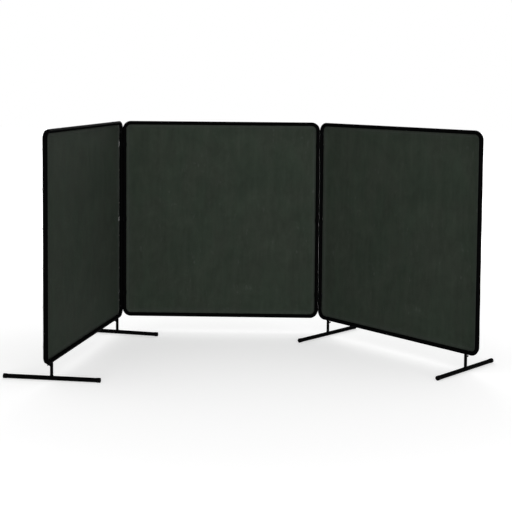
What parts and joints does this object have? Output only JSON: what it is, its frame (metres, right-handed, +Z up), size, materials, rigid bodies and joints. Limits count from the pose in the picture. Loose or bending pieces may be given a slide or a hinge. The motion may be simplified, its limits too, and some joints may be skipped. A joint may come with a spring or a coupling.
{
  "type": "welding screen",
  "caption": "Free-standing three-panel welding screen: square tube frames with cloth covers, hinged with double clips, on T-shaped feet.",
  "frame": {"origin": "on the floor, at the centre of the footprint's bounding box with the panels at rest", "axes": "+Z up, +X along the middle panel to the viewer's right, -Y towards the viewer (the front)"},
  "size_m": [3.9744, 2.009, 1.9685],
  "materials": {
    "frame_enamel": "satin black enamel",
    "foot_enamel": "gloss black enamel",
    "cover_cloth": "dark olive green canvas, flame retardant",
    "clip_nylon": "moulded black nylon",
    "snap_metal": "nickel plated, dulled",
    "screw_steel": "black zinc plated",
    "end_cap_vinyl": "black vinyl"
  },
  "bodies": {
    "centre_panel": {"centre_bottom_rail": "frame_enamel", "centre_top_rail": "frame_enamel", "centre_left_stile": "frame_enamel", "centre_right_stile": "frame_enamel", "centre_corner_bends": "frame_enamel", "centre_joint_screws": "screw_steel", "centre_cover": "cover_cloth", "centre_snap_studs": "snap_metal", "centre_snap_caps": "snap_metal"},
    "left_clips": {"left_upper_hinge_clip": "clip_nylon", "left_middle_hinge_clip": "clip_nylon", "left_lower_hinge_clip": "clip_nylon"},
    "left_panel": {"left_bottom_rail": "frame_enamel", "left_top_rail": "frame_enamel", "left_hinge_stile": "frame_enamel", "left_outer_stile": "frame_enamel", "left_corner_bends": "frame_enamel", "left_joint_screws": "screw_steel", "left_cover": "cover_cloth", "left_snap_studs": "snap_metal", "left_snap_caps": "snap_metal", "left_foot_stubs": "frame_enamel"},
    "left_front_foot": {"left_front_foot_bar": "foot_enamel", "left_front_post": "foot_enamel", "left_front_end_caps": "end_cap_vinyl", "left_front_weld_nut": "foot_enamel", "left_front_set_screw": "screw_steel"},
    "left_back_foot": {"left_back_foot_bar": "foot_enamel", "left_back_post": "foot_enamel", "left_back_end_caps": "end_cap_vinyl", "left_back_weld_nut": "foot_enamel", "left_back_set_screw": "screw_steel"},
    "right_clips": {"right_upper_hinge_clip": "clip_nylon", "right_middle_hinge_clip": "clip_nylon", "right_lower_hinge_clip": "clip_nylon"},
    "right_panel": {"right_bottom_rail": "frame_enamel", "right_top_rail": "frame_enamel", "right_hinge_stile": "frame_enamel", "right_outer_stile": "frame_enamel", "right_corner_bends": "frame_enamel", "right_joint_screws": "screw_steel", "right_cover": "cover_cloth", "right_snap_studs": "snap_metal", "right_snap_caps": "snap_metal", "right_foot_stubs": "frame_enamel"},
    "right_front_foot": {"right_front_foot_bar": "foot_enamel", "right_front_post": "foot_enamel", "right_front_end_caps": "end_cap_vinyl", "right_front_weld_nut": "foot_enamel", "right_front_set_screw": "screw_steel"},
    "right_back_foot": {"right_back_foot_bar": "foot_enamel", "right_back_post": "foot_enamel", "right_back_end_caps": "end_cap_vinyl", "right_back_weld_nut": "foot_enamel", "right_back_set_screw": "screw_steel"}
  },
  "joints": [
    {"name": "left_clip_swing", "type": "hinge", "parent": "centre_panel", "child": "left_clips", "pos_m": [-1.2682, 0.80233, 0], "axis": [0, 0, 1], "range_deg": [-64.9, 35.1]},
    {"name": "left_panel_swing", "type": "hinge", "parent": "left_clips", "child": "left_panel", "pos_m": [-1.29581, 0.77923, 0], "axis": [0, 0, 1], "range_deg": [-64.9, 35.1]},
    {"name": "left_front_foot_swivel", "type": "hinge", "parent": "left_panel", "child": "left_front_foot", "pos_m": [-1.59422, -0.87923, 0], "axis": [0, 0, 1], "range_deg": [-93.3, 86.7]},
    {"name": "left_back_foot_swivel", "type": "hinge", "parent": "left_panel", "child": "left_back_foot", "pos_m": [-1.31535, 0.67068, 0], "axis": [0, 0, 1], "range_deg": [-88.2, 91.8]},
    {"name": "right_clip_swing", "type": "hinge", "parent": "centre_panel", "child": "right_clips", "pos_m": [0.5272, 0.80233, 0], "axis": [0, 0, 1], "range_deg": [-51.35, 48.65]},
    {"name": "right_panel_swing", "type": "hinge", "parent": "right_clips", "child": "right_panel", "pos_m": [0.56018, 0.78788, 0], "axis": [0, 0, 1], "range_deg": [-51.35, 48.65]},
    {"name": "right_front_foot_swivel", "type": "hinge", "parent": "right_panel", "child": "right_front_foot", "pos_m": [1.70295, -0.45052, 0], "axis": [0, 0, 1], "range_deg": [-93.8, 86.2]},
    {"name": "right_back_foot_swivel", "type": "hinge", "parent": "right_panel", "child": "right_back_foot", "pos_m": [0.63498, 0.70682, 0], "axis": [0, 0, 1], "range_deg": [-93.7, 86.3]}
  ]
}
